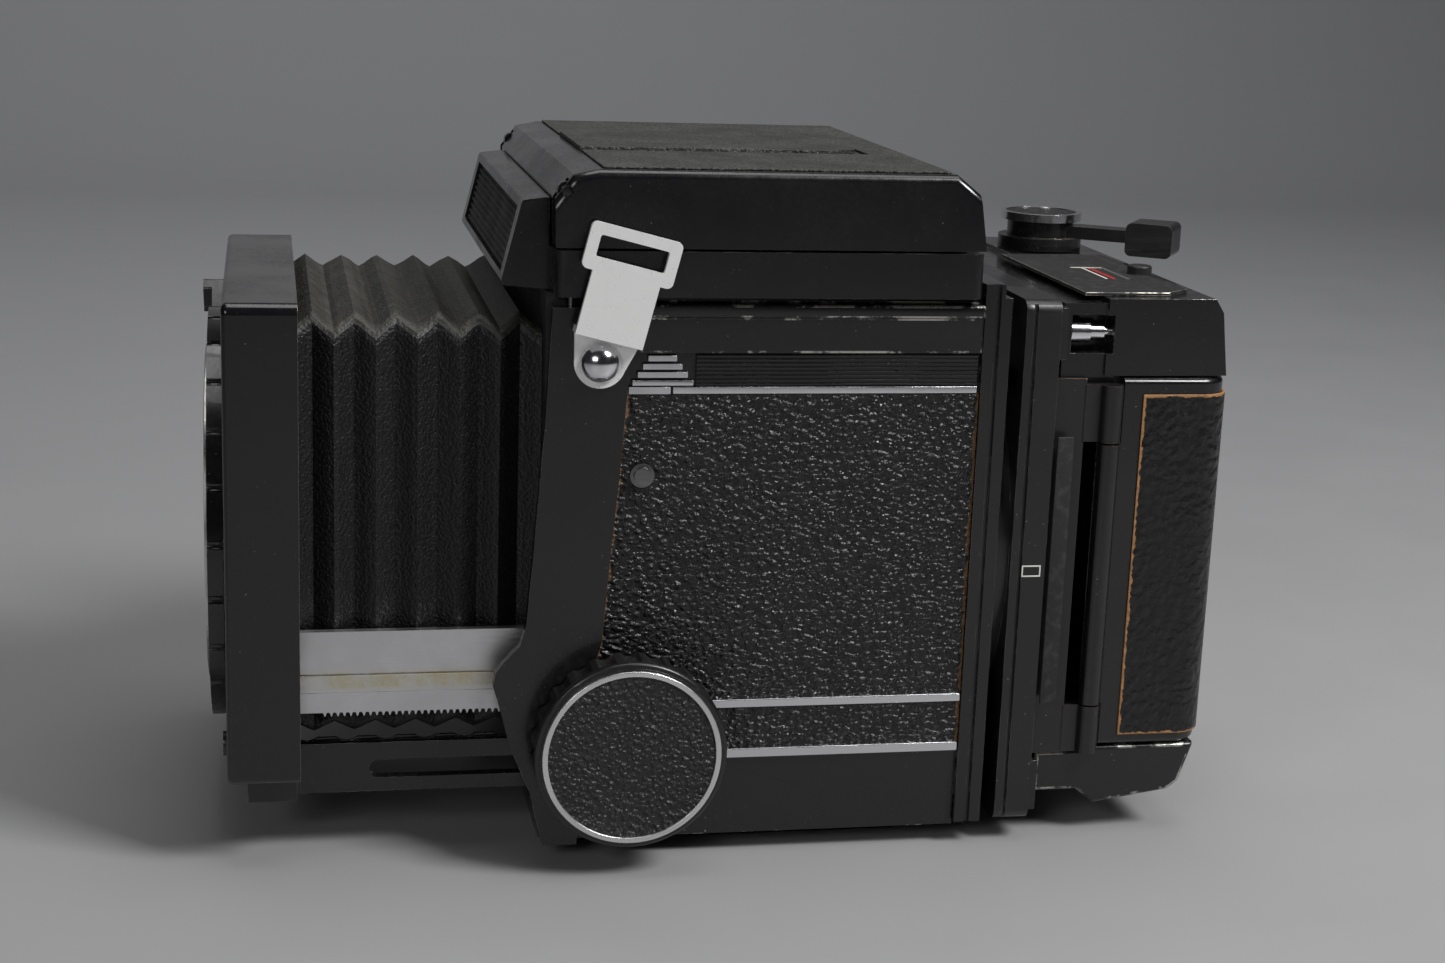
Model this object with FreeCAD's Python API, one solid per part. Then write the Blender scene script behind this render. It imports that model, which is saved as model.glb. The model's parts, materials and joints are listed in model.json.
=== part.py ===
"""Bellows single-lens reflex camera with a waist-level finder and a hinged roll-film holder.

Every function makes one or a few named solids; main() writes one STEP file per node.
Axes: X to the photographer's left, -Y to the lens, +Z up, millimetres.
The origin is the mouth of the tripod socket.
"""
import FreeCAD, Part
import math
import os

V = FreeCAD.Vector

# ---- driving dimensions (mm) ----
AXIS_Z = 60.5            # optical axis above the tripod plate
MODULE = 0.4             # focusing rack and pinion
PINION_TEETH = 26
PINION_PITCH_R = MODULE * PINION_TEETH / 2
TOOTH_ADD = 0.3
TOOTH_DED = 0.45
TOOTH_W = 0.42           # thickness on the pitch line, leaves backlash

FRONT_Y = -40.9          # front face of the body
REAR_Y = 45.0            # back of the side panels
PANEL_IN = 47.6
PANEL_OUT = 49.0
ARM_IN = 49.8            # clears the standard by 0.3
ARM_OUT = 52.0
STD_X = 49.5             # front standard half width
STD_Y = (-101.4, -87.4)
STD_Z = (17.5, 112.0)
THROAT_R = 30.5
THROAT_OUT_R = 36.0
SHAFT_Y = -24.2
SHAFT_Z = 25.3
SHAFT_R = 1.5
RUN_FIT = 0.05           # radial running clearance
GAP = 0.3                # clearance between moving faces
RAIL_X = (44.0, 45.9)
RAIL_Y = (-97.4, -14.0)
BAR_X = (38.5, 41.0)
KNOB_R = 19.0
HOOD_X = 53.4
HOOD_Y = (-40.0, 43.6)
HOOD_Z = (114.2, 123.0, 138.1)
LID_AXIS = (-38.0, 134.0)
FLAP_X = 49.0
FLAP_REAR_Y = 39.5
FLAP_Z = 124.8
FLAP_T = 0.8
FLAP_H = 34.0
ADAPTER_Y = (53.6, 62.9)
HINGE_XY = (47.6, 73.5)
COVER_Z = (19.6, 97.4)
WIND_XY = (-28.0, 82.0)
SPOOL_R = 11.4
STUD_YZ = (-31.2, 101.8)
BUTTON_XZ = (-43.0, 8.0)
LEVER_YZ = (8.0, 62.0)
MIRROR_HINGE = (39.0, 97.5)


# ---- helpers ----
def box(x0, x1, y0, y1, z0, z1):
    return Part.makeBox(x1 - x0, y1 - y0, z1 - z0, V(x0, y0, z0))


def rounded(shape, radius, pick=None):
    edges = [e for e in shape.Edges if pick is None or pick(e)]
    return shape.makeFillet(radius, edges)


def along(axis):
    def test(edge):
        a, b = edge.Vertexes[0].Point, edge.Vertexes[-1].Point
        d = b.sub(a)
        size = [abs(d.x), abs(d.y), abs(d.z)]
        return size[axis] > 0.99 * sum(size)
    return test


def cyl(x, y, z, radius, length, axis):
    return Part.makeCylinder(radius, length, V(x, y, z), V(*axis))


def cyl_x(x0, x1, y, z, radius):
    return cyl(x0, y, z, radius, x1 - x0, (1, 0, 0))


def cyl_y(y0, y1, x, z, radius):
    return cyl(x, y0, z, radius, y1 - y0, (0, 1, 0))


def cyl_z(z0, z1, x, y, radius):
    return cyl(x, y, z0, radius, z1 - z0, (0, 0, 1))


def ring_y(y0, y1, z, r_in, r_out):
    return cyl_y(y0, y1, 0, z, r_out).cut(cyl_y(y0 - 1, y1 + 1, 0, z, r_in))


def prism_x(points, x0, x1):
    pts = [V(x0, y, z) for y, z in points]
    face = Part.Face(Part.makePolygon(pts + pts[:1]))
    return face.extrude(V(x1 - x0, 0, 0))


def prism_z(points, z0, z1):
    pts = [V(x, y, z0) for x, y in points]
    face = Part.Face(Part.makePolygon(pts + pts[:1]))
    return face.extrude(V(0, 0, z1 - z0))


def fuse(shapes):
    return shapes[0].multiFuse(shapes[1:]).removeSplitter()


def mirrored(shape):
    return shape.mirror(V(0, 0, 0), V(1, 0, 0))


def both(shape):
    return Part.makeCompound([shape, mirrored(shape)])


def pair(name, shape):
    return {name + "_left": shape, name + "_right": mirrored(shape)}


# ---- body ----
def base_casting():
    body = box(-PANEL_IN, PANEL_IN, FRONT_Y, REAR_Y, 4, 22)
    for s in (1, -1):
        lo, hi = sorted((s * 37.9, s * 47.6))
        body = body.cut(box(lo, hi, FRONT_Y - 1, 42, 12, 23))
    body = body.cut(box(-33, 33, -34, 40, 10.5, 23))
    body = body.cut(cyl_z(3, 9.5, 0, 0, 7))
    body = body.cut(cyl_y(FRONT_Y - 1, -32, BUTTON_XZ[0], BUTTON_XZ[1], 3.3))
    return body


def tripod():
    plate = rounded(box(-40, 40, -36.8, 36.8, 0, 4), 3, along(2))
    plate = plate.cut(cyl_z(-1, 5, 0, 0, 7))
    bush = cyl_z(0, 9.5, 0, 0, 7).cut(cyl_z(-1, 8, 0, 0, 3.175))
    return {"tripod_plate": plate, "tripod_bush": bush}


def arm_profile():
    front = [(-40.2, 112), (-41.3, 90), (-43.2, 62.6), (-44.3, 49.6), (-45.3, 45.7), (-48.4, 42.4)]
    low = [(-50, 40.3), (-50.6, 37.6), (-49.3, 33.4), (-47.1, 25), (-43, 15.2), (-40.4, 4)]
    rear = [(-33.5, 4), (-33.5, 30), (-31, 40), (-29.4, 46), (-28.2, 62.5), (-26.8, 78.5), (-25.6, 95.6)]
    return front + low + rear + [(-25.2, 112)]


def front_arm():
    points = arm_profile()
    outer = prism_x(points, ARM_IN, ARM_OUT)
    pad = prism_x(points, PANEL_OUT, ARM_IN)
    pad = pad.common(box(PANEL_OUT, ARM_IN, -40.5, 0, 0, 120))
    arm = fuse([outer, pad])
    return arm.cut(cyl_x(ARM_OUT - 1.6, ARM_OUT + 1, STUD_YZ[0], STUD_YZ[1], 1.8))


def side_panel():
    panel = box(PANEL_IN, PANEL_OUT, -40.5, REAR_Y, 4, 103)
    return panel.cut(cyl_x(40, 60, SHAFT_Y, SHAFT_Z, SHAFT_R + RUN_FIT))


def side_leathers():
    upper = prism_x([(-25.4, 95), (44.9, 95), (44.9, 32.7), (-30.6, 32.7), (-30.6, 42),
                     (-29.2, 46), (-28, 62.5), (-26.6, 78.5)], PANEL_OUT, PANEL_OUT + 0.7)
    upper = upper.cut(cyl_x(40, 60, SHAFT_Y, SHAFT_Z, 8))
    upper = upper.cut(cyl_x(40, 60, -22, 78.9, 2.6))
    lower = box(PANEL_OUT, PANEL_OUT + 0.7, -15, 44.9, 22.3, 31)
    right = mirrored(upper).cut(cyl_x(-60, -40, *LEVER_YZ, 3.2))
    return Part.makeCompound([upper, lower, right, mirrored(lower)])


def chrome_trim():
    x0, x1 = PANEL_OUT, PANEL_OUT + 1.0
    strips = [box(x0, x1, -15, 44.9, 31, 32.7), box(x0, x1, -15, 44.9, 20.4, 22.3)]
    strips.append(box(x0, x1, -16.5, 44.4, 95, 96.4))
    for i in range(4):
        z0 = 96.6 + 1.6 * i
        y0 = -24.5 + 1.0 * i
        y1 = -16.9 + 1.1 * (4 - i)
        strips.append(box(x0, x1, y0, y1, z0, z0 + 1.1))
    strips.append(box(x0, x1, -25.2, -16.9, 95, 96.4))
    return Part.makeCompound(strips)


def ribbed_strip():
    x0 = PANEL_OUT
    plate = box(x0, x0 + 0.5, -12, 44.4, 96.5, 102.9)
    ribs = [box(x0, x0 + 0.8, -12, 44.4, 96.6 + 0.8 * i, 97.0 + 0.8 * i) for i in range(8)]
    return fuse([plate] + ribs)


def top_deck():
    deck = box(-PANEL_OUT, PANEL_OUT, -36.9, REAR_Y, 103, HOOD_Z[0])
    for s in (1, -1):
        lo, hi = sorted((s * PANEL_OUT, s * 50.2))
        deck = deck.fuse(box(lo, hi, -24.8, REAR_Y, 103, 110))
        lo, hi = sorted((s * PANEL_OUT, s * 51.2))
        deck = deck.fuse(box(lo, hi, -24.8, REAR_Y, 110, 112.6))
    deck = deck.cut(box(-35, 35, -33, 36, 100, 120))
    deck = deck.cut(box(-38, 38, -36, 39, 112.4, 120))
    return deck.removeSplitter()


def focusing_screen():
    return box(-38, 38, -36, 39, 112.4, HOOD_Z[0])


def front_frame():
    frame = box(-PANEL_IN, PANEL_IN, FRONT_Y, -37, 22, HOOD_Z[0])
    frame = frame.cut(box(-36, 36, -50, 0, 29, 97))
    for s in (1, -1):
        lo, hi = sorted((s * 43.6, s * 48))
        frame = frame.cut(box(lo, hi, -50, 0, 19, 48))
        lo, hi = sorted((s * 37.9, s * 43.7))
        frame = frame.cut(box(lo, hi, -50, 0, 20, 24.2))
    return frame


def mirror_box():
    tube = box(-37.5, 37.5, -37, REAR_Y, 27.5, 103)
    return tube.cut(box(-36, 36, -40, 50, 29, 110))


def nameplate_parts():
    low, high = (-49.6, 115.3), (-45.6, 131.4)
    outline = [(-40.0, 114.5), low, high, (-41.3, 132), (-40.4, 132), (-40.4, 122.6), (-40.0, 122.6)]
    housing = prism_x(outline, -45.5, 45.5)
    housing = rounded(housing, 0.8, lambda e: along(0)(e) and e.BoundBox.YMax < -45)

    def on_face(t, depth):
        dy, dz = high[0] - low[0], high[1] - low[1]
        length = math.hypot(dy, dz)
        return (low[0] + t * dy + depth * dz / length, low[1] + t * dz - depth * dy / length)

    pocket = prism_x([on_face(0.12, -1), on_face(0.9, -1), on_face(0.9, 1.4), on_face(0.12, 1.4)],
                     -41, 41)
    housing = housing.cut(pocket)
    plates = [prism_x([on_face(0.12, 0.9), on_face(0.9, 0.9), on_face(0.9, 1.4),
                       on_face(0.12, 1.4)], -41, 41)]
    for i in range(9):
        t = 0.15 + 0.08 * i
        plates.append(prism_x([on_face(t, 0.5), on_face(t + 0.035, 0.5), on_face(t + 0.035, 1.0),
                               on_face(t, 1.0)], -40.5, 40.5))
    return {"nameplate_housing": housing, "nameplate": fuse(plates)}


def rear_frame():
    frame = box(-50.4, 50.4, REAR_Y, 50.5, 4.9, 114)
    frame = frame.fuse(box(-50.4, -30, REAR_Y, 49, 114, 116.7))
    frame = frame.fuse(box(30, 50.4, REAR_Y, 49, 114, 116.7))
    frame = frame.cut(box(-37, 37, 40, 60, AXIS_Z - 37, AXIS_Z + 37))
    for s in (1, -1):
        lo, hi = sorted((s * 49.6, s * 51))
        frame = frame.cut(box(lo, hi, 47.2, 48.2, 0, 120))
    return frame.removeSplitter()


def finder_base():
    base = box(-HOOD_X, HOOD_X, HOOD_Y[0], HOOD_Y[1], HOOD_Z[0], HOOD_Z[1])
    base = rounded(base, 2.0, along(2))
    base = base.cut(box(-46, 46, -33, 37, 110, 130))
    for s in (1, -1):
        ear = box(48.6, 50.9, -39.6, -36.4, HOOD_Z[1], LID_AXIS[1])
        ear = ear.fuse(cyl_x(48.6, 50.9, LID_AXIS[0], LID_AXIS[1], 1.6))
        ear = ear.fuse(cyl_x(50, 53, LID_AXIS[0], LID_AXIS[1], 1.0))
        base = base.fuse(ear if s > 0 else mirrored(ear))
    return base.removeSplitter()


def strap_studs():
    stud = cyl_x(50.4, 54.6, STUD_YZ[0], STUD_YZ[1], 1.8)
    head = Part.makeSphere(4.2, V(52.4, STUD_YZ[0], STUD_YZ[1]))
    head = head.common(box(54.1, 60, -40, -20, 90, 110))
    return both(fuse([stud, head]))


def side_pin():
    pin = cyl_x(PANEL_OUT, 50.0, -22, 78.9, 2.4)
    return fuse([pin, cyl_x(PANEL_OUT, 51.0, -22, 78.9, 1.7)])


def case_screws():
    screws = []
    for x, y in ((-34, -31), (34, -31), (-34, 31), (34, 31)):
        screws.append(screw((x, y, 0), (0, 0, 1)))
    for x in (-40, 40):
        screws.append(screw((x, REAR_Y + 5.5, 12), (0, -1, 0)))
        screws.append(screw((x, REAR_Y + 5.5, 108), (0, -1, 0)))
    return screws


def screw(pos, axis):
    """Countersunk head lying flush, with a cross slot."""
    p = V(*pos)
    a = V(*axis)
    body = Part.makeCylinder(1.6, 1.2, p, a)
    across = Part.makeBox(2.2, 0.5, 0.6, V(-1.1, -0.25, 0))
    upright = Part.makeBox(0.5, 2.2, 0.6, V(-0.25, -1.1, 0))
    slot = across.fuse(upright)
    slot.Placement = FreeCAD.Placement(p, FreeCAD.Rotation(V(0, 0, 1), a))
    return body, slot


def cut_screws(nodes):
    heads = []
    for index, (body, slot) in enumerate(case_screws()):
        host = "tripod_plate" if index < 4 else "rear_frame"
        nodes[host] = nodes[host].cut(body)
        heads.append(body.cut(slot))
    nodes["case_screws"] = Part.makeCompound(heads)


# ---- front standard ----
def standard_shell():
    y0, y1 = STD_Y
    shell = rounded(box(-STD_X, STD_X, y0, y1, STD_Z[0], STD_Z[1]), 2.2, along(1))
    shell = rounded(shell, 1.2, lambda e: e.BoundBox.YMax < y0 + 0.01)
    shell = shell.cut(box(-46.5, 46.5, y0 + 4, y1 + 1, STD_Z[0] + 3, STD_Z[1] - 2.2))
    shell = shell.cut(cyl_y(y0 - 1, y0 + 6, 0, AXIS_Z, THROAT_OUT_R))
    for s in (1, -1):
        lo, hi = sorted((s * 24, s * 41))
        foot = box(lo, hi, -97.6, -88, 11, STD_Z[0] + 1)
        shell = shell.fuse(foot)
        shell = shell.fuse(cyl_y(y0 - 0.8, y0 + 1, s * 42, 24, 2.4))
    return shell.removeSplitter()


def throat_ring():
    y0 = STD_Y[0]
    ring = ring_y(y0 - 2, y0 + 4, AXIS_Z, THROAT_R, THROAT_OUT_R)
    flange = ring_y(y0 - 4, y0 - 2, AXIS_Z, THROAT_R, THROAT_OUT_R - 1.4)
    return fuse([ring, flange])


def lock_ring():
    y0 = STD_Y[0]
    ring = ring_y(y0 - 3.3, y0 - GAP, AXIS_Z, THROAT_OUT_R + GAP, 42.5)
    tab = box(-4.5, 4.5, y0 - 3.3, y0 - 0.5, 41.5, 56)
    grip = box(-4.5, 4.5, y0 - 5.2, y0 - 0.5, 53, 56)
    tab = rounded(fuse([tab, grip]), 0.6, along(1))
    tab.rotate(V(0, 0, 0), V(0, 1, 0), -44)
    tab.translate(V(0, 0, AXIS_Z))
    ring = ring.fuse(tab)
    for i in range(24):
        a = math.radians(15 * i + 5)
        x, z = 42.9 * math.cos(a), AXIS_Z + 42.9 * math.sin(a)
        if not (-48 < x < -20 and z > 80):
            ring = ring.cut(cyl_y(y0 - 5, y0, x, z, 1.0))
    return ring.removeSplitter()


def rail():
    x0, x1 = RAIL_X
    y0, y1 = RAIL_Y
    plate = box(x0, x1, y0, y1, 35, 47.4)
    return plate.cut(box(x1 - 0.5, x1 + 1, y0 - 1, y1 + 1, 38.5, 38.9))


def rack():
    """Teeth point down; tooth gaps are spaced from the pinion centre so the mesh is exact."""
    x0, x1 = RAIL_X
    pitch = math.pi * MODULE
    pitch_z = SHAFT_Z + PINION_PITCH_R
    root = pitch_z + TOOTH_DED
    points = [(RAIL_Y[0], 35), (RAIL_Y[0], root), (-84.6, root)]
    first = math.ceil((-84.0 - SHAFT_Y) / pitch)
    last = math.floor((RAIL_Y[1] - 1.0 - SHAFT_Y) / pitch)
    tip = pitch_z - TOOTH_ADD
    slope = math.tan(math.radians(20))
    for i in range(first, last):
        y = SHAFT_Y + (i + 0.5) * pitch
        half = TOOTH_W / 2
        wide = half + slope * TOOTH_DED
        thin = half - slope * TOOTH_ADD
        points += [(y - wide, root), (y - thin, tip), (y + thin, tip), (y + wide, root)]
    points += [(RAIL_Y[1], root), (RAIL_Y[1], 35)]
    return prism_x(points, x0, x1)


def lower_bar():
    x0, x1 = BAR_X
    y0 = STD_Y[1]
    bar = box(x0, x1, y0, -30, 12.6, 20.8)
    slot = box(x0 - 1, x1 + 1, -72, -36, 15.4, 19.2)
    slot = slot.fuse(cyl_x(x0 - 1, x1 + 1, -72, 17.3, 1.9)).fuse(cyl_x(x0 - 1, x1 + 1, -36, 17.3, 1.9))
    bar = bar.cut(slot)
    rail_top = box(x0 + 0.8, x1, y0, -30, 20.8, 22.8)
    strip = box(x0, x0 + 0.8, y0, -30, 20.8, 23.5)
    for i in range(7):
        strip = strip.cut(cyl_x(x0 - 1, x0 + 1.6, -86 + 7.8 * i, 26.2, 3.4))
    return fuse([bar, rail_top, strip])


def bellows_section(y, half_w, z_low, z_top, inset):
    w, b, t, c = half_w - inset, z_low + inset, z_top - inset, 4.0
    pts = [(w, b + c), (w, t - c), (w - c, t), (-w + c, t),
           (-w, t - c), (-w, b + c), (-w + c, b), (w - c, b)]
    vec = [V(x, y, z) for x, z in pts]
    return Part.makePolygon(vec + vec[:1])


def bellows():
    """Top folds stand out where the side folds go in, as folded cloth does."""
    stations = [(-96.0, 41.2, 27.2, 106.4), (-88.6, 41.2, 27.2, 106.4)]
    y = -84.6
    while y < -42:
        stations.append((y, 40.9, 24.7, 109.2))
        stations.append((y + 3.95, 43.5, 27.4, 106.4))
        y += 7.9
    stations[-1] = (FRONT_Y - 0.1, 43.5, 27.4, 106.4)
    skins = []
    for inset in (0.0, 0.6):
        wires = [bellows_section(*s, inset) for s in stations]
        skins.append(Part.makeLoft(wires, True, True))
    inner = skins[1]
    first = bellows_section(*stations[0], 0.6)
    last = bellows_section(*stations[-1], 0.6)
    inner = inner.fuse(Part.Face(first).extrude(V(0, -1, 0)))
    inner = inner.fuse(Part.Face(last).extrude(V(0, 1, 0)))
    return skins[0].cut(inner)


# ---- focusing shaft ----
def pinion():
    """One tooth points straight up into a rack gap."""
    tip_r = PINION_PITCH_R + TOOTH_ADD
    root_r = PINION_PITCH_R - TOOTH_DED
    pts = []
    for i in range(PINION_TEETH):
        a = 2 * math.pi * i / PINION_TEETH + math.pi / 2
        for r, w in ((root_r, 0.62), (tip_r, 0.22)):
            pts.append((r, a - w / 2 / r))
        for r, w in ((tip_r, 0.22), (root_r, 0.62)):
            pts.append((r, a + w / 2 / r))
    points = [(SHAFT_Y + r * math.cos(a), SHAFT_Z + r * math.sin(a)) for r, a in pts]
    gear = prism_x(points, RAIL_X[0] + 0.2, RAIL_X[1] - 0.1)
    return gear.cut(cyl_x(40, 50, SHAFT_Y, SHAFT_Z, SHAFT_R))


def knob():
    body = cyl_x(52.6, 60.5, SHAFT_Y, SHAFT_Z, KNOB_R)
    body = rounded(body, 0.8, lambda e: e.Curve.TypeId == "Part::GeomCircle")
    for i in range(24):
        a = 2 * math.pi * i / 24
        y, z = SHAFT_Y + 20.3 * math.cos(a), SHAFT_Z + 20.3 * math.sin(a)
        body = body.cut(cyl_x(50, 59.3, y, z, 2.3))
    body = body.fuse(cyl_x(60.5, 60.9, SHAFT_Y, SHAFT_Z, 17.9))
    body = body.fuse(cyl_x(50.2, 53.5, SHAFT_Y, SHAFT_Z, 6))
    body = body.cut(cyl_x(50, 56, SHAFT_Y, SHAFT_Z, SHAFT_R))
    return body.cut(cyl_x(60.1, 62, SHAFT_Y, SHAFT_Z, 17.6)).removeSplitter()


def focus_parts():
    outer = cyl_x(60.1, 61.5, SHAFT_Y, SHAFT_Z, 17.6).cut(cyl_x(60, 62, SHAFT_Y, SHAFT_Z, 16.5))
    inlay = cyl_x(60.1, 61.1, SHAFT_Y, SHAFT_Z, 16.5)
    nodes = {"focus_shaft": cyl_x(-56, 56, SHAFT_Y, SHAFT_Z, SHAFT_R)}
    nodes["pinions"] = both(pinion())
    nodes["focus_knobs"] = both(knob())
    nodes["knob_rings"] = both(outer)
    nodes["knob_inlays"] = both(inlay)
    return nodes


# ---- finder hood ----
def lid_outline(inset):
    i = inset
    return [(-40 + i, 123.5), (-40.2 + i, 132.6 - 0.4 * i), (-36.8 + 0.6 * i, 137.1 - 0.8 * i),
            (-32.1, 138.1 - i), (37.3, 138.1 - i), (41.9 - 0.6 * i, 134.5 - 0.8 * i), (43.6 - i, 123.5)]


def lid_shell():
    outer = prism_x(lid_outline(0), -HOOD_X, HOOD_X)
    outer = rounded(outer, 1.6, lambda e: e.BoundBox.ZMin > 130 and e.BoundBox.XLength < 0.1)
    inner = prism_x([(y, z - (2 if z == 123.5 else 0)) for y, z in lid_outline(2)], -51.4, 51.4)
    shell = outer.cut(inner)
    slot = box(48.3, 51.5, -42, -35.8, 120, 136.1)
    hole = cyl_x(50, 60, LID_AXIS[0], LID_AXIS[1], 1.0 + RUN_FIT)
    ear = box(22.6, 24.4, 8.4, 12.4, 130.2, 136.2)
    shell = shell.cut(fuse([slot, hole])).cut(mirrored(fuse([slot, hole])))
    return shell.fuse(ear).fuse(mirrored(ear)).removeSplitter()


def lid_cover():
    """Textured covering on top with a raised middle strip between two grooves."""
    sides = box(18.2, 50.5, -31, 36.5, 138.1, 138.5)
    middle = prism_z([(-16.6, -31), (16.6, -31), (16.6, 22), (12, 27), (-12, 27), (-16.6, 22)],
                     138.1, 139.0)
    rear = box(-17.6, 17.6, 28.4, 36.5, 138.1, 138.5)
    return fuse([sides, mirrored(sides), rear, middle, box(-50.5, 50.5, 30, 36.5, 138.1, 138.5)])


def side_flap():
    z0 = FLAP_Z - FLAP_T / 2
    x = FLAP_X
    pts = [(x, -26), (x, 37.4), (x - FLAP_H, 37.4 - FLAP_H), (x - FLAP_H, -26 + 24), (x - 10, -26)]
    plate = prism_z(pts, z0, z0 + FLAP_T)
    return fuse([plate, cyl_y(-26, 37.4, x, FLAP_Z, 0.7)])


def rear_flap():
    z0 = FLAP_Z - FLAP_T / 2
    y = FLAP_REAR_Y
    pts = [(-46, y), (46, y), (46 - FLAP_H, y - FLAP_H), (-46 + FLAP_H, y - FLAP_H)]
    plate = prism_z(pts, z0, z0 + FLAP_T)
    return fuse([plate, cyl_x(-46, 46, y, FLAP_Z, 0.7)])


def magnifier():
    frame = rounded(box(-22, 22, 11, 39, 129.6, 131.2), 4, along(2))
    frame = frame.fuse(cyl_x(-22.3, 22.3, 10.4, 130.8, 1.2))
    frame = frame.fuse(cyl_z(128.4, 131.2, 0, 25, 13))
    frame = frame.cut(cyl_z(120, 135, 0, 25, 11.5))
    lens = cyl_z(129.2, 130.8, 0, 25, 11.5)
    dome = Part.makeSphere(30, V(0, 25, 130.8 + 1.2 - 30)).common(cyl_z(130.8, 140, 0, 25, 8.3))
    return {"magnifier_frame": frame.removeSplitter(), "magnifier_lens": fuse([lens, dome])}


# ---- mirror and controls ----
def mirror_parts():
    y, z = MIRROR_HINGE
    holder = box(-34, 34, y - 70, y, z - 1.6, z)
    holder = holder.fuse(cyl_x(-35.6, 35.6, y, z - 0.2, 1.4))
    glass = box(-33, 33, y - 69, y - 3, z, z + 1.2)
    for shape in (holder, glass):
        shape.rotate(V(0, y, z), V(1, 0, 0), 45)
    return {"mirror_holder": holder.removeSplitter(), "mirror_glass": glass}


def shutter_button():
    x, z = BUTTON_XZ
    stem = cyl_y(-45.6, -36, x, z, 3.0)
    return rounded(stem, 0.7, lambda e: e.BoundBox.YMax < -45.5)


def cocking_lever():
    y, z = LEVER_YZ
    hub = cyl_x(-54.5, -50.0, y, z, 9)
    arm = box(-54.2, -51.2, y - 5, y + 5, z, z + 38)
    tip = cyl_x(-58.5, -51.2, y, z + 38, 5)
    lever = rounded(fuse([arm, tip]), 0.7, lambda e: e.BoundBox.XLength < 0.01 and e.BoundBox.XMax < -58)
    lever = fuse([lever, hub]).cut(cyl_x(-60, -40, y, z, 3.0 + RUN_FIT))
    lever.rotate(V(0, y, z), V(1, 0, 0), 10)
    return lever


def strap_lug():
    """Pressed tab: rounded ear on the stud, a short outward step, then a wide slotted head."""
    y, z = STUD_YZ
    x0, t, x1 = 52.3, 1.2, 56.4
    flare = [(y - 4.9, z - 0.8), (y - 6.6, z + 5.6), (y + 6.6, z + 5.6), (y + 4.9, z - 0.8)]
    ear = prism_x(flare, x0, x0 + t)
    low = cyl_x(x0, x0 + t, y, z, 5).fuse(ear)
    step = box(x0, x1, y - 6.6, y + 6.6, z + 4.6, z + 5.8)
    neck = box(x1 - t, x1, y - 6.6, y + 6.6, z + 4.6, z + 18)
    head = rounded(box(x1 - t, x1, y - 8.9, y + 8.9, z + 17, z + 26), 1.2, along(0))
    slot = rounded(box(50, 60, y - 6.7, y + 6.7, z + 19.6, z + 23.8), 0.5, along(0))
    lug = fuse([low, step, neck, head]).cut(slot).cut(cyl_x(50, 60, y, z, 2.1))
    lug.rotate(V(0, y, z), V(1, 0, 0), -14)
    return lug


# ---- revolving adapter and film holder ----
def adapter_frame():
    y0, y1 = ADAPTER_Y
    plate = rounded(box(-50.4, 50.4, y0, y1 - 2, 4.8, 113.6), 2.5, along(1))
    for z0, z1 in ((6.4, 17), (101.5, 111.8)):
        plate = plate.fuse(box(-48.6, 48.6, y1 - 2, y1, z0, z1))
    plate = plate.fuse(cyl_y(50.8, y0, 0, AXIS_Z, 49))
    plate = plate.cut(box(-36.5, 36.5, 40, 70, AXIS_Z - 36.5, AXIS_Z + 36.5))
    for s in (1, -1):
        lo, hi = sorted((s * 49.7, s * 51))
        plate = plate.cut(box(lo, hi, y0 + 1.6, y0 + 2.4, 0, 120))
    return plate.removeSplitter()


def holder_frame():
    plate = box(-47.4, 47.4, ADAPTER_Y[1] - 2, 68.2, 18.3, 97.4)
    plate = plate.cut(box(-35, 35, 60, 75, AXIS_Z - 28, AXIS_Z + 28))
    hx, hy = HINGE_XY
    for z0 in (COVER_Z[0], COVER_Z[1] - 5.6):
        end = box(-44.8, 44.8, 68.2, 96.4, z0, z0 + 5.6)
        plate = plate.fuse(end.common(cyl_z(0, 120, hx, hy, 92.4)))
    for z0, z1 in ((18.5, 28.7), (84.5, 96.2)):
        knuckle = cyl_z(z0, z1, hx, hy, 2.3).fuse(box(44.6, hx, 68, hy + 0.6, z0, z1))
        plate = plate.fuse(knuckle)
    return plate.cut(cyl_z(90, 99, WIND_XY[0], WIND_XY[1], 2.8)).removeSplitter()


def holder_caps():
    """End caps, tapered to the rear; the upper one is notched for the lock pin."""
    top = prism_x([(72, 97.8), (98, 97.8), (96.4, 110.6), (94.6, 113.4), (72, 113.4)], -46.6, 46.6)
    top = top.fuse(box(-46, 46, ADAPTER_Y[1], 74, 97.4, 112.4))
    x, y0, y1, z = 44.2, 64.6, 73.4, 106.5
    top = top.cut(box(x - 3, 50, y0, y1, z - 4.2, z + 3.6))
    top = top.cut(cyl_z(90, 120, WIND_XY[0], WIND_XY[1], 2.8))
    top = top.cut(cyl_z(109, 118, 16.7, 89.4, 2.9))
    low = prism_x([(ADAPTER_Y[1], 18.3), (ADAPTER_Y[1], 9.5), (72.5, 9.5), (76.5, 6.3), (92.8, 8.7),
                   (95.2, 10.4), (98, 19.2), (74, 19.2), (74, 18.3)], -46.6, 46.6)
    steps = ((y0, y0 + 4, 2.2), (y0 + 4, y0 + 7, 1.7), (y0 + 7, y1, 1.2))
    pin = fuse([cyl_y(a, b, x, z, r) for a, b, r in steps])
    return {"holder_cap_top": top.removeSplitter(), "holder_cap_bottom": low, "lock_pin": pin}


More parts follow.
